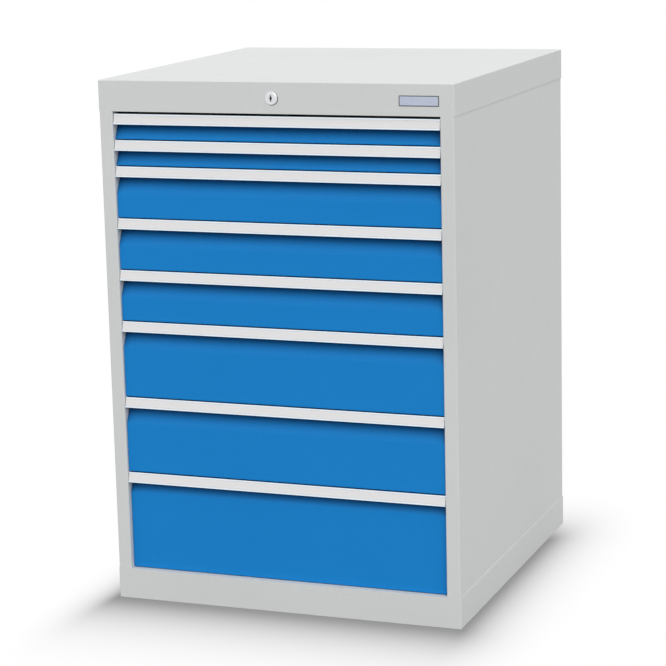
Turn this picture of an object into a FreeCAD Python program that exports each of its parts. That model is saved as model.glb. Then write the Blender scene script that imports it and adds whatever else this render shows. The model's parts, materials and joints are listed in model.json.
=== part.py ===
import FreeCAD, Part
import math
import os

from FreeCAD import Vector

# A modular steel drawer cabinet. It stands on the floor at Z = 0, centred on X and Y, and its
# drawers open towards -Y. Sizes are in millimetres. Drawer 1 is at the top.

# Housing
cabinet_width = 705.0
cabinet_depth = 736.0
header_height = 59.0
sill_height = 60.0
stile_width = 27.5
height_raster = 25.0
front_rasters = [2, 2, 4, 4, 4, 6, 6, 8]
rim_sheet = 1.0
rim_edge_radius = 2.0
rim_lap = 40.0
lip_depth = 22.0
foot_flange = 25.0
side_sheet = 1.25
back_sheet = 1.0
floor_sheet = 1.25
bend_radius = 1.0
jamb_depth = 25.0
rear_flange = 25.0

# Slotted posts
post_sheet = 1.5
post_width = 40.0
post_lip = 12.0
post_gap = 1.0
slot_height = 14.0
slot_width = 2.4

# Runners
runner_sheet = 1.5
runner_width = 24.75
cabinet_rail_height = 36.0
cabinet_rail_setback = 1.0
cabinet_rail_rear_gap = 34.0
cabinet_rail_overhang = 2.0
cabinet_tip_gap = 6.5
middle_rail_setback = 1.0
middle_rail_shortfall = 14.0
middle_tip_gap = 3.5
drawer_rail_setback = 2.0
drawer_rail_rear_gap = 1.0
drawer_tip_gap = 7.25
rail_centre = 24.0
ball_gap = 2.5
web_gap = 1.25
cage_width = 9.0
cage_clearance = 0.1
travel_reserve = 3.0
stop_length = 2.0
stop_setback = 1.0
stop_clearance = 0.5
closing_stop_height = 16.0
hook_reach = 4.6
hook_drop = 6.0
hook_clearance = 0.3

# Drawers
rear_space = 110.0
tray_sheet = 1.0
tray_clear_below = 4.0
tray_clear_above = 8.5
hem_height = 6.0
front_sheet = 1.0
front_side_gap = 1.0
pocket_depth = 20.0
pocket_height = 28.0
face_recess = 6.0
bottom_face_recess = 11.5
slant_height = 27.0
slant_radius = 20.0
front_gap = 1.5
sill_gap = 1.0

# Grip rails
grip_drop = 5.0
grip_height = 19.5
grip_lean = 5.0
grip_wall = 2.0
grip_leg = 13.5
finger_lip = 4.4
label_height = 15.0
label_depth = 1.0

# Central lock
lock_drop = 30.0
header_bore = 19.0
lock_flange_diameter = 22.5
lock_flange_thickness = 2.5
lock_flange_chamfer = 0.9
lock_body_diameter = 18.6
lock_body_length = 24.0
plug_diameter = 14.0
running_clearance = 0.15
key_slot_width = 2.4
key_slot_height = 9.0
key_slot_depth = 12.0
shaft_diameter = 8.0
crank_radius = 8.0
crank_width = 14.0
crank_margin = 3.0
crank_thickness = 4.0
crank_pin_diameter = 5.0
crank_pin_clearance = 1.0
crank_gap = 5.0
lock_turn = 90.0
rod_width = 10.0
rod_space = 60.0
lever_length = 16.0
lever_height = 8.0
fork_sheet = 3.0
fork_side = 4.0
fork_margin = 1.5
finger_sheet = 4.0
finger_reach = 34.0
finger_lift = 3.0
finger_clearance = 0.5
catch_width = 14.0
catch_sheet = 2.0
catch_block = 4.0
catch_height = 10.0
catch_lap = 30.0
catch_gap = 3.5
bracket_sheet = 2.0
bracket_width = 56.0
bracket_drop = 28.0
bracket_overhang = 16.0
low_guide_height = 50.0
high_guide_drop = 12.5
bearing_width = 28.0
bearing_foot = 28.0
bearing_margin = 6.0
bearing_gap = 4.0

half_width = cabinet_width / 2
front_y = -cabinet_depth / 2
cabinet_height = sill_height + height_raster * sum(front_rasters) + header_height
header_bottom = cabinet_height - header_height
opening_half = half_width - stile_width
side_face = half_width - rim_sheet
side_inner = side_face - side_sheet
back_face = cabinet_depth / 2 - rim_sheet
back_inner = back_face - back_sheet
floor_top = sill_height - rim_sheet
top_inner = cabinet_height - rim_sheet
post_face = opening_half + side_sheet
lock_z = cabinet_height - lock_drop

rail_front = front_y + jamb_depth + cabinet_rail_setback
rail_rear = back_inner - cabinet_rail_rear_gap
tray_half_width = post_face - runner_width
tray_front = front_y + pocket_depth + front_sheet
tray_rear = back_inner - rear_space
drawer_travel = tray_rear - tray_front - travel_reserve
drawer_rail_front = tray_front + drawer_rail_setback
drawer_rail_rear = tray_rear - drawer_rail_rear_gap
middle_rail_front = rail_front + middle_rail_setback
middle_rail_rear = drawer_rail_rear - middle_rail_shortfall
front_post_y = front_y + lip_depth + post_gap + post_lip
rear_post_y = rail_rear - cabinet_rail_overhang - post_width

rod_y = back_inner - rod_space
pin_reach = crank_radius * math.sin(math.radians(lock_turn / 2))
rod_swing = 2 * math.degrees(math.asin(pin_reach / lever_length))
rod_top = lock_z + pin_reach - crank_pin_diameter / 2 - fork_margin
crank_rear = rod_y - lever_length - crank_gap


def drawer_cells():
    """The number, bottom and top of each drawer's cell, from the top drawer down."""
    cells = []
    top = header_bottom
    for index, rasters in enumerate(front_rasters):
        bottom = top - rasters * height_raster
        cells.append((index + 1, bottom, top))
        top = bottom
    return cells


def box(x0, x1, y0, y1, z0, z1):
    return Part.makeBox(x1 - x0, y1 - y0, z1 - z0, Vector(x0, y0, z0))


def rod(diameter, y0, y1, x, z):
    """A cylinder along Y."""
    return Part.makeCylinder(diameter / 2, y1 - y0, Vector(x, y0, z), Vector(0, 1, 0))


def mirrored(shape):
    return shape.mirror(Vector(0, 0, 0), Vector(1, 0, 0))


def joined(shapes):
    whole = shapes[0].fuse(shapes[1:])
    return whole.removeSplitter()


def left_of(a, b):
    """The unit normal to the left of the line from a to b."""
    run = (b[0] - a[0], b[1] - a[1])
    length = math.hypot(run[0], run[1])
    return (-run[1] / length, run[0] / length)


def offset_path(path, distance):
    """The open path moved to its left, with mitred corners."""
    moved = []
    for i, point in enumerate(path):
        before = left_of(path[max(i - 1, 0)], path[max(i, 1)])
        after = left_of(path[min(i, len(path) - 2)], path[min(i + 1, len(path) - 1)])
        scale = distance / (1 + before[0] * after[0] + before[1] * after[1])
        moved.append(
            (point[0] + (before[0] + after[0]) * scale, point[1] + (before[1] + after[1]) * scale)
        )
    return moved


def turn_at(path, i):
    """How far the path turns left at its point i, in radians."""
    a = left_of(path[i - 1], path[i])
    b = left_of(path[i], path[i + 1])
    return math.atan2(a[0] * b[1] - a[1] * b[0], a[0] * b[0] + a[1] * b[1])


def rounded_chain(path, radii, place):
    """Edges along an open path, with an arc of the stated radius at each inner point."""
    edges = []
    start = path[0]
    for i in range(1, len(path) - 1):
        turn = turn_at(path, i)
        if radii[i] == 0 or abs(turn) < 1e-6:
            edges.append(Part.makeLine(place(start), place(path[i])))
            start = path[i]
            continue
        n_in = left_of(path[i - 1], path[i])
        n_out = left_of(path[i], path[i + 1])
        trim = radii[i] * math.tan(abs(turn) / 2)
        first = (path[i][0] - n_in[1] * trim, path[i][1] + n_in[0] * trim)
        last = (path[i][0] + n_out[1] * trim, path[i][1] - n_out[0] * trim)
        side = math.copysign(1, turn)
        centre = (first[0] + n_in[0] * radii[i] * side, first[1] + n_in[1] * radii[i] * side)
        to_corner = (path[i][0] - centre[0], path[i][1] - centre[1])
        reach = radii[i] / math.hypot(to_corner[0], to_corner[1])
        middle = (centre[0] + to_corner[0] * reach, centre[1] + to_corner[1] * reach)
        edges.append(Part.makeLine(place(start), place(first)))
        edges.append(Part.Arc(place(first), place(middle), place(last)).toShape())
        start = last
    edges.append(Part.makeLine(place(start), place(path[-1])))
    return edges


def folded_sheet(path, sheet, radii, place, run):
    """A folded sheet: path is one skin, the sheet lies to its left, and run is its length.

    The radii are those inside the bends at the path's inner points, and 0 leaves a bend sharp.
    """
    other = offset_path(path, sheet)
    near = [0.0] * len(path)
    far = [0.0] * len(path)
    for i, radius in enumerate(radii, 1):
        if radius > 0:
            outer = radius + sheet
            near[i] = outer if turn_at(path, i) > 0 else radius
            far[i] = radius if turn_at(path, i) > 0 else outer
    edges = rounded_chain(path, near, place)
    edges.append(Part.makeLine(place(path[-1]), place(other[-1])))
    edges += rounded_chain(other[::-1], far[::-1], place)
    edges.append(Part.makeLine(place(other[0]), place(path[0])))
    wire = Part.Wire(Part.__sortEdges__(edges))
    return Part.Face(wire).extrude(run)


def prism(points, place, run):
    """A straight-sided solid from a closed outline."""
    wire = Part.makePolygon([place(point) for point in points + points[:1]])
    return Part.Face(wire).extrude(run)


def plan_at(z):
    return lambda point: Vector(point[0], point[1], z)


def section_at(x):
    """Places an outline given as distance behind the cabinet's front and height."""
    return lambda point: Vector(x, front_y + point[0], point[1])


def rounded_edges(shape, radius, wanted):
    edges = [edge for edge in shape.Edges if wanted(edge)]
    return shape.makeFillet(radius, edges)


def is_upright(edge):
    return abs(edge.tangentAt(edge.FirstParameter).z) > 0.999


def plan_block(inset, z0, z1):
    """The cabinet's plan, drawn in by an inset, as a block with rounded corners."""
    x = half_width - inset
    y = -front_y - inset
    block = box(-x, x, -y, y, z0, z1)
    radius = rim_edge_radius - inset
    if radius <= 0:
        return block
    return rounded_edges(block, radius, is_upright)


def top_cover():
    """A pan upside down: its front rim is the header, and its lip closes the opening's top."""
    outer = plan_block(0, header_bottom, cabinet_height)
    top_loop = [edge for edge in outer.Edges if edge.BoundBox.ZMin > top_inner]
    outer = outer.makeChamfer(rim_edge_radius / 2, top_loop)
    inside = plan_block(rim_sheet, header_bottom - rim_sheet, top_inner)
    lip = box(
        -side_inner, side_inner, front_y, front_y + lip_depth, header_bottom, header_bottom + rim_sheet
    )
    bore = rod(header_bore, front_y - rim_sheet, front_y + lip_depth, 0, lock_z)
    return joined([outer.cut(inside), lip]).cut(bore)


def base_frame():
    """The ring that the cabinet stands on, with its sill lip and its inward foot flange."""
    outer = plan_block(0, 0, sill_height)
    inside = plan_block(rim_sheet, rim_sheet, sill_height)
    foot_window = plan_block(rim_sheet + foot_flange, 0, rim_sheet)
    lip = box(-side_inner, side_inner, front_y, front_y + lip_depth, floor_top, sill_height)
    return joined([outer.cut(inside).cut(foot_window), lip])


def side_panel():
    """The right side: its front edge folds into the stile and jamb, its rear edge into a flange.

    Above and below the opening only the flat wall goes on, behind the rims of cover and base.
    """
    path = [
        (opening_half, front_y + jamb_depth),
        (opening_half, front_y),
        (side_face, front_y),
        (side_face, back_inner),
        (side_face - rear_flange, back_inner),
    ]
    opening = Vector(0, 0, header_bottom - sill_height)
    bends = [bend_radius] * (len(path) - 2)
    panel = folded_sheet(path, side_sheet, bends, plan_at(sill_height), opening)
    inset = rim_sheet + bend_radius + side_sheet
    tuck = box(
        side_inner,
        side_face,
        front_y + inset,
        back_inner - inset,
        sill_height - rim_lap,
        header_bottom + rim_lap,
    )
    return joined([panel, tuck])


def back_panel():
    x = side_face - rim_edge_radius
    return box(-x, x, back_inner, back_face, sill_height - rim_lap, header_bottom + rim_lap)


def floor_panel():
    """A pan upside down that stands on the base frame's foot flange."""
    y0 = front_y + rim_sheet
    outer = box(-side_inner, side_inner, y0, back_inner, rim_sheet, floor_top)
    inside = box(
        floor_sheet - side_inner,
        side_inner - floor_sheet,
        y0 + floor_sheet,
        back_inner - floor_sheet,
        rim_sheet,
        floor_top - floor_sheet,
    )
    return outer.cut(inside)


def slot_levels():
    """The heights at which the posts can carry a runner: one to each raster below the top one."""
    count = sum(front_rasters) - 1
    return [sill_height + rail_centre + k * height_raster for k in range(count)]


def post(y0):
    """A slotted hat section against the right side panel, from the floor panel to the cover."""
    y1 = y0 + post_width
    wall = side_inner - post_sheet
    path = [
        (wall, y1 + post_lip),
        (wall, y1),
        (post_face, y1),
        (post_face, y0),
        (wall, y0),
        (wall, y0 - post_lip),
    ]
    height = Vector(0, 0, top_inner - floor_top)
    hat = folded_sheet(path, post_sheet, [], plan_at(floor_top), height)
    middle = (y0 + y1) / 2
    slots = [
        box(
            post_face,
            post_face + post_sheet,
            middle - slot_width / 2,
            middle + slot_width / 2,
            level - slot_height / 2,
            level + slot_height / 2,
        )
        for level in slot_levels()
    ]
    return hat.cut(Part.makeCompound(slots))


def channel(web, tip, half_height, y0, y1, z):
    """A C section along Y, with its web's outer skin at web and its flanges' edges at tip."""
    inward = runner_sheet if tip > web else -runner_sheet
    x0, x1 = sorted((web, tip))
    h0, h1 = sorted((web + inward, tip))
    outer = box(x0, x1, y0, y1, z - half_height, z + half_height)
    inner = half_height - runner_sheet
    return outer.cut(box(h0, h1, y0, y1, z - inner, z + inner))


cabinet_half = cabinet_rail_height / 2
middle_half = cabinet_half - runner_sheet - ball_gap
drawer_half = middle_half - runner_sheet - ball_gap
cabinet_tip = tray_half_width + cabinet_tip_gap
middle_web = post_face - runner_sheet - web_gap
middle_tip = tray_half_width + middle_tip_gap
drawer_tip = post_face - drawer_tip_gap
outer_cage_x = (cabinet_tip + middle_web - cage_width) / 2
inner_cage_x = (middle_tip + drawer_tip - cage_width) / 2
stop_height = ball_gap - 3 * cage_clearance


def above_and_below(x0, x1, y0, y1, z, near, far):
    """The same bar above and below the runner's centre."""
    return [box(x0, x1, y0, y1, z + near, z + far), box(x0, x1, y0, y1, z - far, z - near)]


def runner_hook(y, z):
    """The tab that hangs a runner in a post's slot and drops behind the post's web."""
    behind = post_face + post_sheet + hook_clearance
    low = z - slot_height / 2
    outline = [
        (post_face - runner_sheet / 2, low),
        (behind, low),
        (behind, low - hook_drop),
        (post_face + hook_reach, low - hook_drop),
        (post_face + hook_reach, z),
        (post_face - runner_sheet / 2, z),
    ]
    place = lambda point: Vector(point[0], y - runner_sheet / 2, point[1])
    return prism(outline, place, Vector(0, runner_sheet, 0))


def cabinet_rail(z):
    """The fixed member of the right runner, with its stops and the hooks that carry it."""
    rail = channel(post_face, cabinet_tip, cabinet_half, rail_front, rail_rear, z)
    inner_face = cabinet_half - runner_sheet
    stops = above_and_below(
        outer_cage_x,
        outer_cage_x + cage_width,
        rail_front,
        rail_front + stop_length,
        z,
        inner_face - stop_height,
        inner_face + runner_sheet / 2,
    )
    closing_y = drawer_rail_rear + stop_clearance
    closing_stop = box(
        (cabinet_tip + drawer_tip) / 2,
        post_face - runner_sheet / 2,
        closing_y,
        closing_y + runner_sheet,
        z - closing_stop_height / 2,
        z + closing_stop_height / 2,
    )
    hooks = [runner_hook(y + post_width / 2, z) for y in (front_post_y, rear_post_y)]
    return joined([rail, closing_stop] + stops + hooks)


def middle_rail(z):
    """The middle member of the right runner and its four ball cages, as separate solids."""
    rail = channel(
        middle_web, middle_tip, middle_half, middle_rail_front, middle_rail_rear, z
    )
    outer_y = rail_front + stop_length + stop_clearance + drawer_travel / 2
    outer = above_and_below(
        outer_cage_x,
        outer_cage_x + cage_width,
        outer_y,
        middle_rail_rear,
        z,
        middle_half + cage_clearance,
        middle_half + ball_gap - cage_clearance,
    )
    inner_y = drawer_rail_rear - stop_setback - stop_length - stop_clearance - drawer_travel / 2
    inner = above_and_below(
        inner_cage_x,
        inner_cage_x + cage_width,
        middle_rail_front + stop_length,
        inner_y,
        z,
        drawer_half + cage_clearance,
        drawer_half + ball_gap - cage_clearance,
    )
    return [rail] + outer + inner


def drawer_rail(z):
    """The member fixed to the tray's right wall, with the stops at its rear end."""
    rail = channel(
        tray_half_width, drawer_tip, drawer_half, drawer_rail_front, drawer_rail_rear, z
    )
    stops = above_and_below(
        inner_cage_x,
        inner_cage_x + cage_width,
        drawer_rail_rear - stop_setback - stop_length,
        drawer_rail_rear - stop_setback,
        z,
        drawer_half - runner_sheet / 2,
        drawer_half + stop_height,
    )
    return joined([rail] + stops)


def tray(bottom, top):
    """The drawer's open tray, with a closed hem along its rim."""
    z0 = bottom + tray_clear_below
    z1 = top - tray_clear_above
    outer = box(-tray_half_width, tray_half_width, tray_front, tray_rear, z0, z1)
    wall = tray_half_width - tray_sheet
    hollow = box(
        -wall, wall, tray_front + tray_sheet, tray_rear - tray_sheet, z0 + tray_sheet, z1 - hem_height
    )
    hem_wall = wall - tray_sheet
    mouth = box(
        -hem_wall,
        hem_wall,
        tray_front + tray_sheet,
        tray_rear - 2 * tray_sheet,
        z0 + tray_sheet,
        z1,
    )
    return outer.cut(hollow).cut(mouth)


def lock_catch(bottom):
    """The tongue under the tray's floor and the block on its end that the lock's finger holds."""
    x1 = -rod_width / 2 - catch_gap
    x0 = x1 - catch_width
    _, corner = finger_corners()
    block_front = rod_y + math.hypot(corner[0], corner[1]) + finger_clearance
    rear = block_front + catch_block
    top = bottom + tray_clear_below
    tongue = box(x0, x1, tray_rear - catch_lap, rear, top - catch_sheet, top)
    block = box(x0, x1, block_front, rear, top, top + catch_height)
    return [tongue, block]


def front_panel(bottom, top, is_bottom):
    """The coloured front: a folded pan whose face slants back into the finger pocket."""
    recess = bottom_face_recess if is_bottom else face_recess
    low = sill_height + sill_gap if is_bottom else bottom - grip_drop + front_gap
    upper_edge = top - grip_drop - grip_wall
    pocket_foot = top - pocket_height
    slope = (pocket_depth - face_recess) / slant_height
    slant_end = max(pocket_foot - (pocket_depth - recess) / slope, low)
    slant_recess = pocket_depth - (pocket_foot - slant_end) * slope
    face = [(pocket_depth, pocket_foot), (slant_recess, slant_end)]
    if slant_end - low > 2 * (bend_radius + front_sheet):
        face.append((recess, low))
    path = [(pocket_depth, upper_edge)] + face + [(pocket_depth, low)]
    bends = [bend_radius] * (len(path) - 2)
    if len(face) == 3:
        bends[1] = slant_radius
    half = opening_half - front_side_gap
    skin = folded_sheet(path, front_sheet, bends, section_at(-half), Vector(2 * half, 0, 0))
    inset = front_sheet / 2
    cheek_outline = [
        (pocket_depth, pocket_foot - 2 * front_sheet),
        (slant_recess + front_sheet, slant_end),
    ]
    if len(face) == 3:
        cheek_outline.append((recess + inset, low + inset))
    cheek_outline.append((pocket_depth, low + inset))
    cheeks = [
        prism(cheek_outline, section_at(x), Vector(front_sheet, 0, 0))
        for x in (-half, half - front_sheet)
    ]
    return joined([skin] + cheeks)


def grip_rail(top):
    """The extruded grip rail: a leaning face with a label channel, a top web and a rear leg."""
    z = top - grip_drop
    low = z - grip_height
    lean = grip_lean / grip_height
    channel_low = z - (grip_height + label_height) / 2
    channel_high = channel_low + label_height
    outline = [
        (grip_lean, z),
        (pocket_depth + front_sheet, z),
        (pocket_depth + front_sheet, z - grip_wall),
        (pocket_depth, z - grip_wall),
        (pocket_depth, z - grip_wall - grip_leg),
        (pocket_depth - grip_wall, z - grip_wall - grip_leg),
        (pocket_depth - grip_wall, z - grip_wall),
        (grip_lean - lean * grip_wall + grip_wall + label_depth, z - grip_wall),
        (lean * grip_wall + grip_wall + label_depth, low + grip_wall),
        (finger_lip, low + grip_wall),
        (finger_lip, low),
        (0, low),
        (lean * (channel_low - low), channel_low),
        (lean * (channel_low - low) + label_depth, channel_low),
        (lean * (channel_high - low) + label_depth, channel_high),
        (lean * (channel_high - low), channel_high),
    ]
    half = opening_half - front_side_gap
    return prism(outline, section_at(-half), Vector(2 * half, 0, 0))


def lock_housing():
    """The lock's fixed barrel, which passes through the header and bears on it with its flange."""
    flange = rod(lock_flange_diameter, front_y - lock_flange_thickness, front_y, 0, lock_z)
    rim = [edge for edge in flange.Edges if edge.BoundBox.YMax < front_y - lock_flange_thickness / 2]
    flange = flange.makeChamfer(lock_flange_chamfer, rim)
    barrel = rod(lock_body_diameter, front_y, front_y + lock_body_length, 0, lock_z)
    bore = rod(
        plug_diameter + 2 * running_clearance,
        front_y - lock_flange_thickness,
        front_y + lock_body_length,
        0,
        lock_z,
    )
    return joined([flange, barrel]).cut(bore)


def lock_plug():
    """The turning core, with its upright key slot."""
    face = front_y - lock_flange_thickness
    plug = rod(plug_diameter, face, front_y + lock_body_length, 0, lock_z)
    slot = box(
        -key_slot_width / 2,
        key_slot_width / 2,
        face,
        face + key_slot_depth,
        lock_z - key_slot_height / 2,
        lock_z + key_slot_height / 2,
    )
    return plug.cut(slot)


def lock_shaft():
    """The round bar from the plug to the crank at the cabinet's rear."""
    crank_front = crank_rear - crank_thickness
    return rod(shaft_diameter, front_y + lock_body_length, crank_front, 0, lock_z)


def lock_crank():
    """The arm welded to the shaft's end, with the pin that turns the lock rod."""
    half = crank_width / 2
    tip = lock_z + crank_radius + crank_pin_diameter / 2 + crank_margin
    arm = box(-half, half, crank_rear - crank_thickness, crank_rear, lock_z - half, tip)
    pin_end = rod_y - lever_length + 2 * fork_sheet
    pin = rod(crank_pin_diameter, crank_rear, pin_end, 0, lock_z + crank_radius)
    crank = joined([arm, pin])
    return crank.rotate(Vector(0, 0, lock_z), Vector(0, 1, 0), -lock_turn / 2)


def turned_open(shape):
    """A piece of the lock rod, from the middle of the rod's swing to where it stands open."""
    return shape.rotate(Vector(0, rod_y, 0), Vector(0, 0, 1), -rod_swing / 2)


def lock_rod():
    """The square rod that stands behind the drawers, from the floor panel to the lever's top."""
    half = rod_width / 2
    foot = floor_top + running_clearance
    return turned_open(box(-half, half, rod_y - half, rod_y + half, foot, rod_top))


def lock_lever():
    """The arm welded to the rod's front face, with the fork that takes the crank pin."""
    half = rod_width / 2
    gap = crank_pin_diameter / 2 + crank_pin_clearance
    fork_y = rod_y - lever_length
    slot_high = lock_z + crank_radius + crank_pin_diameter / 2 + fork_margin
    arm = box(-half, half, fork_y, rod_y - half, rod_top - lever_height, rod_top)
    plate = box(
        -gap - fork_side,
        gap + fork_side,
        fork_y - fork_sheet / 2,
        fork_y + fork_sheet / 2,
        rod_top - lever_height,
        slot_high,
    )
    slot = box(-gap, gap, fork_y - fork_sheet, fork_y + fork_sheet, rod_top, slot_high)
    return turned_open(joined([arm, plate.cut(slot)]))


def finger_corners():
    """The tip's corners from the rod's axis at mid swing; the tip is square to Y when locked."""
    turn = math.radians(rod_swing / 2)
    half = rod_width / 2
    return [
        (x, (finger_reach - x * math.sin(turn)) / math.cos(turn)) for x in (half, -half)
    ]


def lock_fingers():
    """One finger for each drawer, welded to the lock rod's rear face."""
    half = rod_width / 2
    outline = [(-half, half), (half, half)] + finger_corners()
    fingers = []
    for _, bottom, _ in drawer_cells():
        low = bottom + tray_clear_below + finger_lift
        place = lambda point: Vector(point[0], rod_y + point[1], low)
        fingers.append(turned_open(prism(outline, place, Vector(0, 0, finger_sheet))))
    return fingers


def rod_guide(z):
    """A shelf on the back panel whose round hole guides the lock rod by its corners."""
    path = [
        (back_inner, z - bracket_drop),
        (back_inner, z),
        (rod_y - bracket_overhang, z),
    ]
    place = lambda point: Vector(-bracket_width / 2, point[0], point[1])
    shelf = folded_sheet(path, bracket_sheet, [], place, Vector(bracket_width, 0, 0))
    radius = rod_width / math.sqrt(2) + running_clearance
    return shelf.cut(Part.makeCylinder(radius, bracket_sheet, Vector(0, rod_y, z - bracket_sheet)))


def shaft_bearing():
    """The bracket under the cover that carries the shaft's rear end."""
    rear = crank_rear - crank_thickness - bearing_gap
    path = [
        (rear, lock_z - shaft_diameter / 2 - bearing_margin),
        (rear, top_inner),
        (rear - bearing_foot, top_inner),
    ]
    place = lambda point: Vector(-bearing_width / 2, point[0], point[1])
    bracket = folded_sheet(path, bracket_sheet, [], place, Vector(bearing_width, 0, 0))
    bore = rod(shaft_diameter + 2 * running_clearance, rear - bracket_sheet, rear, 0, lock_z)
    return bracket.cut(bore)


def lock_brackets():
    low_guide = sill_height + low_guide_height
    high_guide = drawer_cells()[0][1] - high_guide_drop
    return [rod_guide(low_guide), rod_guide(high_guide), shaft_bearing()]


def write_node(name, shapes):
    for shape in shapes:
        for solid in shape.Solids:
            if not solid.isValid() or solid.Volume <= 0:
                print("bad solid in", name)
    solids = [solid for shape in shapes for solid in shape.Solids]
    whole = solids[0] if len(solids) == 1 else Part.makeCompound(solids)
    whole.exportStep("parts/" + name + ".step")


def write_housing():
    right_side = side_panel()
    write_node("side_panel_right", [right_side])
    write_node("side_panel_left", [mirrored(right_side)])
    write_node("top_cover", [top_cover()])
    write_node("base_frame", [base_frame()])
    write_node("floor_panel", [floor_panel()])
    write_node("back_panel", [back_panel()])
    for end, y in (("front", front_post_y), ("rear", rear_post_y)):
        right_post = post(y)
        write_node(end + "_post_right", [right_post])
        write_node(end + "_post_left", [mirrored(right_post)])
    rails = [cabinet_rail(bottom + rail_centre) for _, bottom, _ in drawer_cells()]
    write_node("cabinet_rails_right", rails)
    write_node("cabinet_rails_left", [mirrored(rail) for rail in rails])


def write_drawer(number, bottom, top):
    name = "drawer_" + str(number)
    z = bottom + rail_centre
    is_bottom = number == len(front_rasters)
    right_rail = drawer_rail(z)
    right_middle = middle_rail(z)
    write_node(name + "_tray", [tray(bottom, top)] + lock_catch(bottom))
    write_node(name + "_front", [front_panel(bottom, top, is_bottom)])
    write_node(name + "_grip", [grip_rail(top)])
    write_node(name + "_rails", [mirrored(right_rail), right_rail])
    write_node(
        name + "_middle_rails", [mirrored(piece) for piece in right_middle] + right_middle
    )


def write_lock():
    write_node("lock_housing", [lock_housing()])
    write_node("lock_plug", [lock_plug()])
    write_node("lock_shaft", [lock_shaft()])
    write_node("lock_crank", [lock_crank()])
    write_node("lock_rod", [lock_rod()])
    write_node("lock_lever", [lock_lever()])
    write_node("lock_fingers", lock_fingers())
    write_node("lock_brackets", lock_brackets())


os.makedirs("parts", exist_ok=True)
write_housing()
for cell in drawer_cells():
    write_drawer(*cell)
write_lock()
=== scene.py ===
import json
import math

import bmesh
import bpy
from mathutils import Matrix, Vector


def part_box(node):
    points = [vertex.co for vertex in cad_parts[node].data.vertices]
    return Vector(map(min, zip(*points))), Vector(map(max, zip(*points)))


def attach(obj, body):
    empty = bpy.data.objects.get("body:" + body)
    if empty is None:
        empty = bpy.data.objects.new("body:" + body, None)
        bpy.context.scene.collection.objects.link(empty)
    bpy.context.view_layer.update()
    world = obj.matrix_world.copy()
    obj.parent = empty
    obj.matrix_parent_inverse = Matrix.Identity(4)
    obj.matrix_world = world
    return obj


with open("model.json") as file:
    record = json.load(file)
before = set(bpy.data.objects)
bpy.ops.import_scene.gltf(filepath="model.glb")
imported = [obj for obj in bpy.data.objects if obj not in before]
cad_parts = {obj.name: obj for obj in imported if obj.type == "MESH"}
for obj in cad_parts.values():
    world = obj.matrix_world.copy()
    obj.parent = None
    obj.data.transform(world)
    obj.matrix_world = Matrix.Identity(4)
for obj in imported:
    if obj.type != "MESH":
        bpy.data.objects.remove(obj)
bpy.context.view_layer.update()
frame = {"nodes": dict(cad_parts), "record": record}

# The looks of the drawer cabinet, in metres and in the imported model's frame. The cabinet stands on
# the floor at Z = 0 with its drawer fronts towards -Y.

CAD_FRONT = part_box("top_cover")[0].y
NODES = frame["nodes"]
DRAWERS = range(1, 9)
MM = 0.001

# Camera, as fitted to the photograph's corners
CAMERA_PLACE = Vector((1.609, -4.3186, 1.4197))
CAMERA_TARGET = Vector((-0.02927, 0.0, 0.4734))
CAMERA_ROLL = math.radians(1.4004)
CAMERA_FOCAL_PX = 2320.7
IMAGE_PX = 666
SENSOR_MM = 36.0

# Light: an even white dome and a broad key lamp
DOME_STRENGTH = 1.0
KEY_STRENGTH = 1.17
KEY_SPREAD = math.radians(50)
KEY_ELEVATION = math.radians(37)
KEY_AZIMUTH = math.radians(-57)
KEY_DISTANCE = 4.0

# Floor: its size, and how much of the light it throws back on the cabinet
FLOOR_SIZE = 60.0
FLOOR_CELLS = 8
FLOOR_BOUNCE = 0.28

# The soft shadow round the foot: its depth, how its start is rounded and its end cut off, and the
# length over which it fades to each side. To the back it starts to fade well before the rear edge,
# since the photograph's shadow ends at the rear corner.
SHADE_DEPTH = 0.94
SHADE_ROUNDING = 0.08
SHADE_END = 0.02
SHADE_FRONT = 0.112
SHADE_RIGHT = 0.048
SHADE_LEFT = 0.030
SHADE_BACK = 0.10
SHADE_BACK_START = 0.14

# The shade on the floor under an open drawer: how near the drawer has to be, how bright the floor
# still is at the darkest, and the open share of its surroundings at which the shade has gone
UNDERSIDE_SHADE_REACH = 0.20
UNDERSIDE_LEAST_LIGHT = 0.25
UNDERSIDE_OPEN = 0.5

# The shade in the finger pockets: it lies on a front's slope, which faces upwards, and on the wall
# this far behind the top cover's face, and it follows how closed in the surface is
POCKET_SLOPE = 0.3
POCKET_WALL_DEPTH = 14 * MM
POCKET_WALL_BLEND = 2 * MM
POCKET_SHADE_REACH = 62 * MM
POCKET_CLOSED = 0.14
POCKET_OPEN = 0.985
POCKET_LEAST_SHADE = 0.10

# Colours as they are displayed, from 0 to 255
HOUSING_GREY = (208, 210, 209)
FRONT_BLUE = (22, 127, 200)
# The navy below is painted shade in the drawer fronts' finger pockets
POCKET_SHADE_NAVY = (0, 36, 80)
TRAY_GREY = (196, 199, 200)
GRIP_SILVER = (236, 247, 255)
LOCK_SILVER = (236, 237, 240)
PLUG_SILVER = (228, 228, 230)
PLATE_SILVER = (190, 198, 216)
ZINC_GREY = (176, 180, 184)
ZINC_DULL = (158, 158, 150)
CARD_WHITE = (220, 219, 220)
CARD_WARM = (219, 214, 212)
# The trim grey is the plate's border and also the painted shadow ring round the lock
TRIM_AND_SHADOW_GREY = (70, 67, 68)
# The keyway black is painted shade in the key slot
KEYWAY_SHADE_BLACK = (26, 25, 26)

# How far the shading rounds an edge off, and how the lines in drawn metal are stretched along X
COAT_EDGE = 0.2 * MM
TRAY_EDGE = 0.4 * MM
METAL_EDGE = 0.4 * MM
ZINC_EDGE = 0.3 * MM
KEYWAY_EDGE = 0.1 * MM
GRIP_LINES = (0.02, 1, 1)
PLATE_LINES = (0.03, 1, 1)

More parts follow.
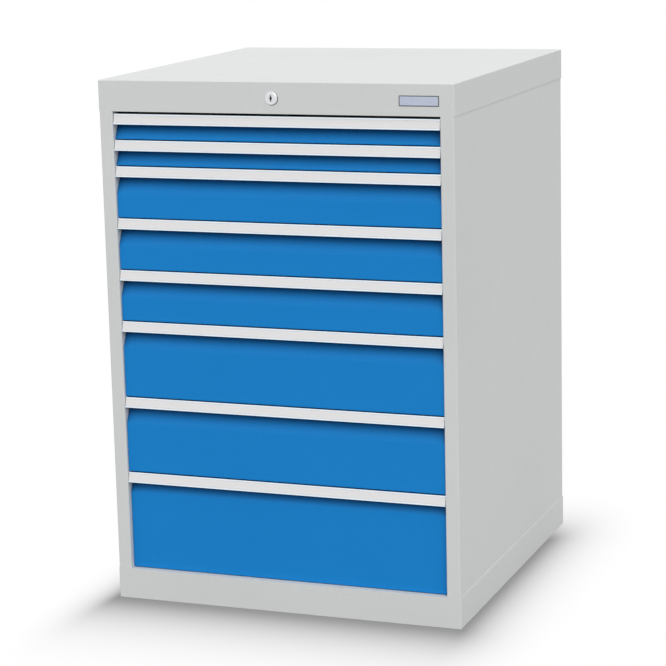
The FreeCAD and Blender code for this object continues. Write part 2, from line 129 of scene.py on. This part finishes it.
# Label strips. The grip rail's face leans back over its height and has a label channel of a certain
# depth. The strip's long edges sink by a share of its thickness over a narrow band.
GRIP_LEAN = 5.0 * MM
LABEL_CLEARANCE = 0.2 * MM
LABEL_THICKNESS = 0.5 * MM
LABEL_HEIGHT = 15 * MM
LABEL_DEPTH = 1.0 * MM
LABEL_EDGE_BAND = 0.4 * MM
LABEL_EDGE_SINK = 0.3

# Plate on the header
PLATE_WIDTH = 76 * MM
PLATE_HEIGHT = 19.4 * MM
PLATE_THICKNESS = 0.6 * MM
PLATE_CHAMFER = 0.21 * MM
PLATE_CORNER = 1.5 * MM
PLATE_FACE_CORNER = 0.9 * MM
PLATE_BORDER = 1.45 * MM
PLATE_CENTRE_DROP = 31.3 * MM
PLATE_SIDE_INSET = 28.5 * MM

# Rivets
RIVET_RADIUS = 3.2 * MM
RIVET_HEIGHT = 1.0 * MM
RIVET_SIDES = 14
RIVET_RINGS = 4
BACK_RIVET_COUNT = 7
BACK_RIVET_INSET = 12 * MM
BACK_RIVET_LOWEST = 0.09
BACK_RIVET_HIGHEST = 0.93
TRAY_RIVET_PLACES = (-0.30, -0.10, 0.10, 0.22)
TRAY_HALF_INSIDE = 300.5 * MM

# Lock: the nut behind the header, and the rosette on its face, with a dark ring set off centre
# behind it as a painted shadow and a dark patch in the key slot as painted shade. The rosette's rim
# is rounded through places that lie this far in from its radius and behind its face.
HEADER_SHEET = 1.0 * MM
LOCK_BODY_RADIUS = 9.3 * MM
NUT_WIDTH = 24 * MM
NUT_THICKNESS = 4 * MM
NUT_CHAMFER = 0.7 * MM
NUT_CORNER_REACH = 1.13
ROSETTE_RADIUS = 12.4 * MM
ROSETTE_THICKNESS = 1.1 * MM
ROSETTE_CLEARANCE = 0.05 * MM
ROSETTE_RIM = ((0.45 * MM, 0.0), (0.12 * MM, 0.16 * MM), (0.0, 0.5 * MM))
# The dark ring behind the rosette is a painted shadow, set off centre
SHADOW_RING_RADIUS = 12.7 * MM
SHADOW_RING_BORE = 11.6 * MM
SHADOW_RING_THICKNESS = 0.5 * MM
SHADOW_RING_ROUNDING = 0.15 * MM
SHADOW_RING_OFFSET = Vector((0.9 * MM, 0, -0.6 * MM))
KEYWAY_RADIUS = 2.5 * MM
KEYWAY_WIDTH = 1.6 * MM
KEYWAY_HEIGHT = 11.5 * MM
KEYWAY_DEPTH = 0.5 * MM
KEYWAY_STAND = 0.03 * MM


def linear(colour):
    """A display colour of 0 to 255 as the linear colour that a shader takes."""
    parts = [value / 255 for value in colour]
    parts = [v / 12.92 if v <= 0.04045 else ((v + 0.055) / 1.055) ** 2.4 for v in parts]
    return (*parts, 1.0)


def scaled(colour, factor):
    return tuple(min(channel * factor, 1.0) for channel in colour[:3]) + (1.0,)


class Nodes:
    """A small builder of one material's node tree."""

    def __init__(self, name):
        self.material = bpy.data.materials.new(name)
        self.material.use_nodes = True
        self.tree = self.material.node_tree
        self.tree.nodes.clear()
        self.output = self.tree.nodes.new("ShaderNodeOutputMaterial")

    def add(self, kind, **settings):
        node = self.tree.nodes.new("ShaderNode" + kind)
        for key, value in settings.items():
            setattr(node, key, value)
        return node

    def link(self, source, target):
        self.tree.links.new(source, target)

    def noise(self, scale, detail=2.0, stretch=(1, 1, 1)):
        """Noise in object space; scale is in features to the metre."""
        place = self.add("TexCoord")
        mapping = self.add("Mapping")
        mapping.inputs["Scale"].default_value = stretch
        self.link(place.outputs["Object"], mapping.inputs["Vector"])
        noise = self.add("TexNoise")
        noise.inputs["Scale"].default_value = scale
        noise.inputs["Detail"].default_value = detail
        self.link(mapping.outputs["Vector"], noise.inputs["Vector"])
        return noise.outputs["Fac"]

    def spread(self, source, low, high, from_low=0.3, from_high=0.7):
        """The source mapped to low...high from its own range, by default the one of most noise."""
        mapped = self.add("MapRange")
        mapped.inputs["From Min"].default_value = from_low
        mapped.inputs["From Max"].default_value = from_high
        mapped.inputs["To Min"].default_value = low
        mapped.inputs["To Max"].default_value = high
        self.link(source, mapped.inputs["Value"])
        return mapped.outputs["Result"]

    def mixed(self, factor, first, second):
        """A colour between first and second, each a colour or a socket."""
        mix = self.add("Mix", data_type="RGBA")
        self.link(factor, mix.inputs["Factor"])
        for value, socket in ((first, mix.inputs[6]), (second, mix.inputs[7])):
            if isinstance(value, tuple):
                socket.default_value = value
            else:
                self.link(value, socket)
        return mix.outputs[2]

    def value(self, operation, first, second=None):
        """One step of arithmetic on two sockets or plain numbers."""
        node = self.add("Math", operation=operation)
        for operand, socket in ((first, node.inputs[0]), (second, node.inputs[1])):
            if isinstance(operand, (int, float)):
                socket.default_value = operand
            elif operand is not None:
                self.link(operand, socket)
        return node.outputs["Value"]

    def bump(self, source, strength, distance, normal=None):
        bump = self.add("Bump")
        bump.inputs["Strength"].default_value = strength
        bump.inputs["Distance"].default_value = distance
        self.link(source, bump.inputs["Height"])
        if normal is not None:
            self.link(normal, bump.inputs["Normal"])
        return bump.outputs["Normal"]

    def soft_edges(self, radius):
        """The shading normal with edges rounded by radius, and a mask that is 1 along them."""
        bevel = self.add("Bevel", samples=6)
        bevel.inputs["Radius"].default_value = radius
        geometry = self.add("NewGeometry")
        dot = self.add("VectorMath", operation="DOT_PRODUCT")
        self.link(bevel.outputs["Normal"], dot.inputs[0])
        self.link(geometry.outputs["Normal"], dot.inputs[1])
        mask = self.spread(dot.outputs["Value"], 1.0, 0.0, from_low=0.80, from_high=0.995)
        return bevel.outputs["Normal"], mask

    def occlusion(self, reach):
        """1 in the open, falling towards 0 in hollows and beside what stands within reach."""
        node = self.add("AmbientOcclusion", samples=12)
        node.inputs["Distance"].default_value = reach
        return node.outputs["AO"]

    def seen_directly(self):
        """1 for rays from the camera, a mirror or glass, and 0 for light that surfaces scatter."""
        path = self.add("LightPath").outputs
        mirrored = self.value("MAXIMUM", path["Is Camera Ray"], path["Is Glossy Ray"])
        return self.value("MAXIMUM", mirrored, path["Is Transmission Ray"])

    def principled(self, tone, roughness, normal, **constants):
        """The surface shader, from three sockets and the constants that it takes."""
        shader = self.add("BsdfPrincipled")
        for key, value in constants.items():
            shader.inputs[key.replace("_", " ")].default_value = value
        self.link(tone, shader.inputs["Base Color"])
        self.link(roughness, shader.inputs["Roughness"])
        self.link(normal, shader.inputs["Normal"])
        self.link(shader.outputs["BSDF"], self.output.inputs["Surface"])


def painted_pocket_shade(n):
    """How far the tone of a drawer front goes towards its painted shade colour, which stands for the
    shadow under the grip.

    It does so only on the front's slope and on what lies behind its face.
    """
    geometry = n.add("NewGeometry")
    normal = n.add("SeparateXYZ")
    n.link(geometry.outputs["Normal"], normal.inputs["Vector"])
    coords = n.add("TexCoord")
    place = n.add("SeparateXYZ")
    n.link(coords.outputs["Object"], place.inputs["Vector"])
    wall = CAD_FRONT + POCKET_WALL_DEPTH
    sloping = n.spread(normal.outputs["Z"], 0.0, 1.0, 0.0, POCKET_SLOPE)
    deep = n.spread(place.outputs["Y"], 0.0, 1.0, wall, wall + POCKET_WALL_BLEND)
    openness = n.occlusion(POCKET_SHADE_REACH)
    closed = n.spread(openness, 1.0, 0.0, POCKET_CLOSED, POCKET_OPEN)
    closed = n.value("MAXIMUM", closed, POCKET_LEAST_SHADE)
    return n.value("MULTIPLY", n.value("MAXIMUM", sloping, deep), closed)


def powder_coat(name, colour, roughness, edge=COAT_EDGE, gloss=0.4, painted_shade=None, grain=520.0):
    """Smooth powder coat: cloudy tone, fine specks, orange peel, and edges lightened in patches by
    wear and by painted highlight.

    Where a painted shade colour is given, the tone goes towards it in a drawer front's pocket as
    painted shade.
    """
    n = Nodes(name)
    base = linear(colour)
    normal, edges = n.soft_edges(edge)
    clouds = n.spread(n.noise(scale=2.2, detail=3.0), 0, 1)
    tone = n.mixed(clouds, scaled(base, 0.975), scaled(base, 1.015))
    specks = n.spread(n.noise(scale=grain), 0.0, 0.22, from_low=0.46, from_high=0.72)
    tone = n.mixed(specks, tone, scaled(base, 0.8))
    # Wear and painted highlight: the tone is lighter along the edges, in patches
    wear_and_highlight = n.spread(n.noise(scale=60.0, detail=4.0), 0.05, 0.30)
    tone = n.mixed(n.value("MULTIPLY", edges, wear_and_highlight), tone, scaled(base, 1.12))
    # Painted shade in the finger pocket, darkest where the surface is most closed in
    if painted_shade is not None:
        tone = n.mixed(painted_pocket_shade(n), tone, linear(painted_shade))
    patches = n.noise(scale=35.0, detail=3.0)
    dull = n.spread(patches, roughness - 0.05, roughness + 0.06)
    peel = n.bump(n.noise(scale=420.0), strength=0.10, distance=0.08 * MM, normal=normal)
    n.principled(tone, dull, peel, IOR=1.5, Specular_IOR_Level=gloss)
    return n.material


def brushed_metal(name, colour, roughness, grain=900.0, stretch=(1, 1, 1), tint=0.9):
    """Drawn or brushed metal: fine lines in tone, gloss and height, and a painted highlight along
    the edges.

    A stretch below 1 draws the lines out along that axis, and without one they are an even grain.
    """
    n = Nodes(name)
    base = linear(colour)
    normal, edges = n.soft_edges(METAL_EDGE)
    lines = n.noise(scale=grain, stretch=stretch)
    tone = n.mixed(n.spread(lines, 0, 1), scaled(base, tint), base)
    clouds = n.spread(n.noise(scale=6.0, detail=3.0), 0.0, 0.35)
    tone = n.mixed(clouds, tone, scaled(base, 0.92))
    # Painted highlight: the tone is lighter along the edges
    bright = n.spread(edges, 0.0, 0.4, from_low=0.0, from_high=1.0)
    tone = n.mixed(bright, tone, scaled(base, 1.1))
    dull = n.spread(lines, roughness - 0.05, roughness + 0.07)
    relief = n.bump(lines, strength=0.12, distance=0.05 * MM, normal=normal)
    n.principled(tone, dull, relief, Metallic=1.0)
    return n.material


def zinc(name):
    """Bright zinc plate: faint spangle, dull yellowish patches and a painted highlight along the
    edges.
    """
    n = Nodes(name)
    base = linear(ZINC_GREY)
    normal, edges = n.soft_edges(ZINC_EDGE)
    place = n.add("TexCoord")
    spangle = n.add("TexVoronoi")
    spangle.inputs["Scale"].default_value = 180.0
    n.link(place.outputs["Object"], spangle.inputs["Vector"])
    cells = n.spread(spangle.outputs["Distance"], 0, 1, from_low=0.1, from_high=0.7)
    tone = n.mixed(cells, scaled(base, 1.06), scaled(base, 0.86))
    patches = n.spread(n.noise(scale=9.0, detail=4.0), 0.0, 0.5)
    tone = n.mixed(patches, tone, linear(ZINC_DULL))
    # Painted highlight: the tone is lighter along the edges
    bright = n.spread(edges, 0.0, 0.3, from_low=0.0, from_high=1.0)
    tone = n.mixed(bright, tone, scaled(base, 1.25))
    dull = n.spread(n.noise(scale=40.0, detail=4.0), 0.30, 0.46)
    relief = n.noise(scale=300.0, detail=3.0)
    relief = n.bump(relief, strength=0.10, distance=0.05 * MM, normal=normal)
    n.principled(tone, dull, relief, Metallic=1.0)
    return n.material


def label_paper(name):
    """White card behind a clear cover: faint fibre, with the cover's gloss as a coat."""
    n = Nodes(name)
    white = linear(CARD_WHITE)
    fibre = n.spread(n.noise(scale=700.0, detail=3.0, stretch=(0.3, 1, 1)), 0, 1)
    tone = n.mixed(fibre, scaled(white, 0.97), white)
    tone = n.mixed(n.spread(n.noise(scale=5.0), 0.0, 0.3), tone, linear(CARD_WARM))
    dull = n.spread(n.noise(scale=90.0), 0.5, 0.6)
    relief = n.bump(n.noise(scale=160.0), strength=0.05, distance=0.05 * MM)
    n.principled(tone, dull, relief, Coat_Weight=0.5, Coat_Roughness=0.12)
    return n.material


def make_finishes():
    """The CAD nodes' finishes by their material slots, and those of the trim."""
    return {
        "housing_enamel": powder_coat("housing_coat", HOUSING_GREY, 0.60, gloss=0.22),
        # The fronts take painted shade in their finger pockets
        "front_enamel": powder_coat(
            "front_coat", FRONT_BLUE, 0.48, gloss=0.12, painted_shade=POCKET_SHADE_NAVY, grain=260.0
        ),
        "tray_enamel": powder_coat("tray_coat", TRAY_GREY, 0.46, edge=TRAY_EDGE),
        "grip_aluminium": brushed_metal(
            "grip_metal", GRIP_SILVER, 0.30, stretch=GRIP_LINES, tint=0.96
        ),
        "zinc_steel": zinc("zinc_plate"),
        "lock_chrome": brushed_metal("lock_metal", LOCK_SILVER, 0.40, grain=500.0),
        "lock_nickel": brushed_metal("plug_metal", PLUG_SILVER, 0.26, grain=700.0),
        "label_paper": label_paper("label_card"),
        # Dark trim is the plate's border and also the painted shadow ring round the lock
        "dark_trim": powder_coat("dark_trim", TRIM_AND_SHADOW_GREY, 0.4),
        "plate_metal": brushed_metal(
            "plate_metal", PLATE_SILVER, 0.30, grain=1200.0, stretch=PLATE_LINES
        ),
        # Painted shade for the key slot
        "keyway_black": powder_coat(
            "keyway_black", KEYWAY_SHADE_BLACK, 0.6, edge=KEYWAY_EDGE, gloss=0.2
        ),
    }


def dress_nodes(finishes):
    """Each CAD node takes the finish of its material slot."""
    for entry in frame["record"]["subparts"]:
        node = NODES[entry["node"]]
        node.data.materials.clear()
        node.data.materials.append(finishes[entry["material_slot"]])


def new_piece(name, bm, material, body):
    """The finished mesh as a piece that rides on a body and belongs to a material slot."""
    bmesh.ops.recalc_face_normals(bm, faces=bm.faces)
    mesh = bpy.data.meshes.new(name)
    bm.to_mesh(mesh)
    bm.free()
    piece = bpy.data.objects.new(name, mesh)
    bpy.context.scene.collection.objects.link(piece)
    mesh.materials.append(material)
    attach(piece, body)


def ring_points(radius, steps=48):
    """Points of a circle about the origin, anticlockwise."""
    turns = [2 * math.pi * k / steps for k in range(steps)]
    return [(radius * math.cos(turn), radius * math.sin(turn)) for turn in turns]


def rounded_outline(width, height, radius, steps=6):
    """Points of a rectangle with rounded corners about the origin, anticlockwise."""
    points = []
    for corner in range(4):
        x = (width / 2 - radius) * (1 if corner in (0, 3) else -1)
        z = (height / 2 - radius) * (1 if corner in (0, 1) else -1)
        for k in range(steps + 1):
            angle = math.radians(90 * (corner + k / steps))
            points.append((x + radius * math.cos(angle), z + radius * math.sin(angle)))
    return points


def drawn_in(points, by):
    """An outline about the origin, with each point moved nearer to both axes."""
    return [(x - math.copysign(by, x), z - math.copysign(by, z)) for x, z in points]


def add_loop(bm, points, y, centre):
    return [bm.verts.new((centre.x + x, y, centre.z + z)) for x, z in points]


def bridge(bm, first, second):
    count = len(first)
    for i in range(count):
        j = (i + 1) % count
        bm.faces.new((first[i], first[j], second[j], second[i]))


def tube(*loops):
    """A closed ring of faces through loops that are given as points, Y place and centre."""
    bm = bmesh.new()
    loops = [add_loop(bm, *loop) for loop in loops]
    for first, second in zip(loops, loops[1:] + loops[:1]):
        bridge(bm, first, second)
    return bm


def capped(*loops):
    """A solid through loops that are given as points, Y place and centre, closed at both ends."""
    bm = bmesh.new()
    loops = [add_loop(bm, *loop) for loop in loops]
    for first, second in zip(loops, loops[1:]):
        bridge(bm, first, second)
    bm.faces.new(loops[-1])
    bm.faces.new(loops[0][::-1])
    return bm


def make_label_strip(number, material):
    """The card in the grip rail's channel, leaning as the rail's face does, with softened edges."""
    low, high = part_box("drawer_%d_grip" % number)
    slope = GRIP_LEAN / (high.z - low.z)
    middle = (low.z + high.z) / 2
    half = LABEL_HEIGHT / 2 - LABEL_CLEARANCE
    x = high.x - 2 * LABEL_CLEARANCE
    bm = bmesh.new()

    def row(z, thickness):
        y = low.y + slope * (middle + z - low.z) + LABEL_DEPTH - thickness
        return [bm.verts.new((side * x, y, middle + z)) for side in (-1, 1)]

    full, edge = LABEL_THICKNESS, LABEL_THICKNESS * (1 - LABEL_EDGE_SINK)
    flat = half - LABEL_EDGE_BAND
    face = [row(-half, edge), row(-flat, full), row(flat, full), row(half, edge)]
    back = [row(-half, 0), row(half, 0)]
    ring = [back[0]] + face + [back[1]]
    for first, second in zip(ring, ring[1:] + ring[:1]):
        bm.faces.new((first[0], first[1], second[1], second[0]))
    bm.faces.new([pair[0] for pair in ring[::-1]])
    bm.faces.new([pair[1] for pair in ring])
    new_piece("label_strip_%d" % number, bm, material, "drawer_%d" % number)


def make_plate(border_finish, face_finish):
    """The bare plate on the header: a satin face in a thin dark border."""
    low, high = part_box("top_cover")
    x = high.x - PLATE_SIDE_INSET - PLATE_WIDTH / 2
    centre = Vector((x, low.y, high.z - PLATE_CENTRE_DROP))
    outer = rounded_outline(PLATE_WIDTH, PLATE_HEIGHT, PLATE_CORNER)
    inner = rounded_outline(
        PLATE_WIDTH - 2 * PLATE_BORDER, PLATE_HEIGHT - 2 * PLATE_BORDER, PLATE_FACE_CORNER
    )
    front = low.y - PLATE_THICKNESS
    border = tube(
        (outer, low.y, centre),
        (outer, front + PLATE_CHAMFER, centre),
        (drawn_in(outer, PLATE_CHAMFER), front, centre),
        (inner, front, centre),
        (inner, low.y, centre),
    )
    new_piece("plate_border", border, border_finish, "cabinet")
    face = capped(
        (inner, low.y, centre),
        (inner, front + 0.5 * PLATE_CHAMFER, centre),
        (drawn_in(inner, 0.5 * PLATE_CHAMFER), front + 0.2 * PLATE_CHAMFER, centre),
    )
    new_piece("plate_face", face, face_finish, "cabinet")


def add_rivet(bm, place, axis):
    """A shallow rivet head on a flat face: place is its foot and axis points out of the face."""
    turn = Vector((0, 0, 1)).rotation_difference(axis).to_matrix()
    loops = []
    for k in range(RIVET_RINGS):
        angle = math.radians(90 * k / RIVET_RINGS)
        lift = RIVET_HEIGHT * math.sin(angle)
        ring = ring_points(RIVET_RADIUS * math.cos(angle), RIVET_SIDES)
        loops.append([bm.verts.new(place + turn @ Vector((x, y, lift))) for x, y in ring])
    top = bm.verts.new(place + axis * RIVET_HEIGHT)
    for first, second in zip(loops, loops[1:]):
        bridge(bm, first, second)
    last = loops[-1]
    for first, second in zip(last, last[1:] + last[:1]):
        bm.faces.new((first, second, top))
    bm.faces.new(loops[0][::-1])


def make_back_rivets(material):
    """Blind rivets that hold the back panel to the side panels' flanges."""
    low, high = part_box("back_panel")
    bm = bmesh.new()
    rise = BACK_RIVET_HIGHEST - BACK_RIVET_LOWEST
    for side in (-1, 1):
        x = side * (high.x - BACK_RIVET_INSET)
        for k in range(BACK_RIVET_COUNT):
            z = BACK_RIVET_LOWEST + rise * k / (BACK_RIVET_COUNT - 1)
            add_rivet(bm, Vector((x, high.y, z)), Vector((0, 1, 0)))
    new_piece("back_rivets", bm, material, "cabinet")


def make_tray_rivets(number, material):
    """The rivets that hold the runner members to the tray, seen inside its walls."""
    low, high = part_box("drawer_%d_rails" % number)
    z = (low.z + high.z) / 2
    bm = bmesh.new()
    for side in (-1, 1):
        for y in TRAY_RIVET_PLACES:
            add_rivet(bm, Vector((side * TRAY_HALF_INSIDE, y, z)), Vector((-side, 0, 0)))
    new_piece("tray_rivets_%d" % number, bm, material, "drawer_%d" % number)


def hexagon_points(cut, steps=6):
    """Points of the nut's outline with its corners rounded off, drawn in by cut."""
    points = []
    for k in range(6 * steps):
        angle = math.radians(60 * k / steps)
        off = (angle + math.radians(30)) % math.radians(60) - math.radians(30)
        flat = (NUT_WIDTH / 2 - cut) / math.cos(off)
        reach = min(flat, NUT_WIDTH / 2 * NUT_CORNER_REACH - cut)
        points.append((reach * math.cos(angle), reach * math.sin(angle)))
    return points


def make_lock_nut(material):
    """The hexagon nut that clamps the lock's barrel behind the header."""
    low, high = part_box("lock_housing")
    centre = (low + high) / 2
    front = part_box("top_cover")[0].y + HEADER_SHEET
    rear = front + NUT_THICKNESS
    whole, cut = hexagon_points(0), hexagon_points(NUT_CHAMFER)
    bore = ring_points(LOCK_BODY_RADIUS, len(whole))
    nut = tube(
        (bore, front, centre),
        (cut, front, centre),
        (whole, front + NUT_CHAMFER / 2, centre),
        (whole, rear - NUT_CHAMFER / 2, centre),
        (cut, rear, centre),
        (bore, rear, centre),
    )
    new_piece("lock_nut", nut, material, "cabinet")


def make_lock_rosette(material):
    """The thin ring round the lock's flange, with a rounded rim."""
    low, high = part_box("lock_housing")
    centre = (low + high) / 2
    bore = ring_points((high.x - low.x) / 2 + ROSETTE_CLEARANCE)
    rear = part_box("top_cover")[0].y
    front = rear - ROSETTE_THICKNESS
    rim = [
        (ring_points(ROSETTE_RADIUS - inset), front + sink, centre) for inset, sink in ROSETTE_RIM
    ]
    rosette = tube(
        (bore, rear, centre),
        (bore, front, centre),
        *rim,
        (ring_points(ROSETTE_RADIUS), rear, centre),
    )
    new_piece("lock_rosette", rosette, material, "cabinet")


def make_lock_shadow_ring(material):
    """A thin dark ring behind the rosette, set a little to the right and down: a painted shadow that
    shows as a crescent.
    """
    low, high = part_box("lock_housing")
    centre = (low + high) / 2
    shadow_centre = centre + SHADOW_RING_OFFSET
    bore, rim = ring_points(SHADOW_RING_BORE), ring_points(SHADOW_RING_RADIUS)
    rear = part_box("top_cover")[0].y
    front = rear - SHADOW_RING_THICKNESS
    shadow_ring = tube(
        (bore, rear, centre),
        (bore, front, centre),
        (ring_points(SHADOW_RING_RADIUS - SHADOW_RING_ROUNDING), front, shadow_centre),
        (rim, front + SHADOW_RING_ROUNDING, shadow_centre),
        (rim, rear, shadow_centre),
    )
    new_piece("lock_shadow_ring", shadow_ring, material, "cabinet")


def make_keyway_shade(material):
    """Painted shade in the key slot: a dark patch on the plug's face, an upright slit that widens to
    a round middle.
    """
    low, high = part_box("lock_plug")
    centre = (low + high) / 2
    half, mouth = KEYWAY_WIDTH / 2, KEYWAY_HEIGHT / 2
    meet = math.asin(half / KEYWAY_RADIUS)
    steps = 10
    right = [(half, -mouth)]
    for k in range(steps + 1):
        turn = -math.pi / 2 + meet + (math.pi - 2 * meet) * k / steps
        right.append((KEYWAY_RADIUS * math.cos(turn), KEYWAY_RADIUS * math.sin(turn)))
    right.append((half, mouth))
    outline = right + [(-x, -z) for x, z in right]
    keyway = capped(
        (outline, low.y + KEYWAY_DEPTH, centre), (outline, low.y - KEYWAY_STAND, centre)
    )
    new_piece("lock_keyway_shade", keyway, material, "lock_core")


def floor_shade(n):
    """How bright the floor looks: 1 in the open, darker round the foot and under open drawers."""
    place = n.add("TexCoord")
    axes = n.add("SeparateXYZ")
    n.link(place.outputs["Object"], axes.inputs["Vector"])
    low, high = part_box("base_frame")
    reach = SHADE_ROUNDING
    for axis, side, edge, fade in (
        ("X", 1, high.x, SHADE_RIGHT),
        ("X", -1, -low.x, SHADE_LEFT),
        ("Y", 1, high.y - SHADE_BACK_START, SHADE_BACK),
        ("Y", -1, -low.y, SHADE_FRONT),
    ):
        out = n.value("MULTIPLY", axes.outputs[axis], side / fade)
        out = n.value("MAXIMUM", n.value("SUBTRACT", out, edge / fade), 0.0)
        reach = n.value("ADD", n.value("MULTIPLY", out, out), reach)
    fading = n.value("EXPONENT", n.value("MULTIPLY", n.value("SQRT", reach), -1.0))
    dark = n.value("SUBTRACT", n.value("MULTIPLY", fading, SHADE_DEPTH), SHADE_END)
    bright = n.value("SUBTRACT", 1.0, n.value("MAXIMUM", dark, 0.0))
    openness = n.occlusion(UNDERSIDE_SHADE_REACH)
    open_air = n.spread(openness, UNDERSIDE_LEAST_LIGHT, 1.0, 0.0, UNDERSIDE_OPEN)
    return n.value("MULTIPLY", bright, open_air)


def make_floor():
    """A white floor that glows evenly to the eye, so that it shows only its soft shadow."""
    bm = bmesh.new()
    bmesh.ops.create_grid(bm, x_segments=FLOOR_CELLS, y_segments=FLOOR_CELLS, size=FLOOR_SIZE / 2)
    mesh = bpy.data.meshes.new("floor")
    bm.to_mesh(mesh)
    bm.free()
    floor = bpy.data.objects.new("floor", mesh)
    bpy.context.scene.collection.objects.link(floor)
    n = Nodes("floor_white")
    glow = n.add("Emission")
    n.link(floor_shade(n), glow.inputs["Strength"])
    bounce = n.add("BsdfDiffuse")
    bounce.inputs["Color"].default_value = (FLOOR_BOUNCE, FLOOR_BOUNCE, FLOOR_BOUNCE, 1)
    mix = n.add("MixShader")
    n.link(n.seen_directly(), mix.inputs["Fac"])
    n.link(bounce.outputs["BSDF"], mix.inputs[1])
    n.link(glow.outputs["Emission"], mix.inputs[2])
    n.link(mix.outputs["Shader"], n.output.inputs["Surface"])
    mesh.materials.append(n.material)


def make_world():
    """A plain white dome, which is the backdrop too."""
    world = bpy.data.worlds.new("studio")
    bpy.context.scene.world = world
    world.use_nodes = True
    tree = world.node_tree
    tree.nodes.clear()
    background = tree.nodes.new("ShaderNodeBackground")
    background.inputs["Color"].default_value = (1, 1, 1, 1)
    background.inputs["Strength"].default_value = DOME_STRENGTH
    output = tree.nodes.new("ShaderNodeOutputWorld")
    tree.links.new(background.outputs["Background"], output.inputs["Surface"])


def make_key_light():
    """A broad soft lamp from the front and right, well above the cabinet.

    It is a sun lamp, so its distance is only for whoever opens the scene.
    """
    lamp = bpy.data.lights.new("key", "SUN")
    lamp.energy = KEY_STRENGTH
    lamp.angle = KEY_SPREAD
    key = bpy.data.objects.new("key", lamp)
    flat = math.cos(KEY_ELEVATION)
    towards = Vector(
        (flat * math.cos(KEY_AZIMUTH), flat * math.sin(KEY_AZIMUTH), math.sin(KEY_ELEVATION))
    )
    key.rotation_euler = towards.to_track_quat("Z", "Y").to_euler()
    key.location = KEY_DISTANCE * towards
    bpy.context.scene.collection.objects.link(key)


def make_camera():
    data = bpy.data.cameras.new("camera")
    data.sensor_fit = "HORIZONTAL"
    data.sensor_width = SENSOR_MM
    data.lens = SENSOR_MM * CAMERA_FOCAL_PX / IMAGE_PX
    camera = bpy.data.objects.new("camera", data)
    aim = (CAMERA_TARGET - CAMERA_PLACE).to_track_quat("-Z", "Y").to_matrix().to_4x4()
    roll = Matrix.Rotation(-CAMERA_ROLL, 4, "Z")
    camera.matrix_world = Matrix.Translation(CAMERA_PLACE) @ aim @ roll
    bpy.context.scene.collection.objects.link(camera)
    bpy.context.scene.camera = camera


make_camera()
make_world()
make_key_light()
make_floor()
bpy.context.scene.view_settings.view_transform = "Standard"

finishes = make_finishes()
dress_nodes(finishes)
for number in DRAWERS:
    make_label_strip(number, finishes["label_paper"])
    make_tray_rivets(number, finishes["zinc_steel"])
make_plate(finishes["dark_trim"], finishes["plate_metal"])
make_lock_nut(finishes["zinc_steel"])
make_lock_rosette(finishes["lock_chrome"])
# Painted shadow: a dark ring off centre behind the lock's rosette
make_lock_shadow_ring(finishes["dark_trim"])
# Painted shade: a dark patch in the key slot
make_keyway_shade(finishes["keyway_black"])
make_back_rivets(finishes["zinc_steel"])
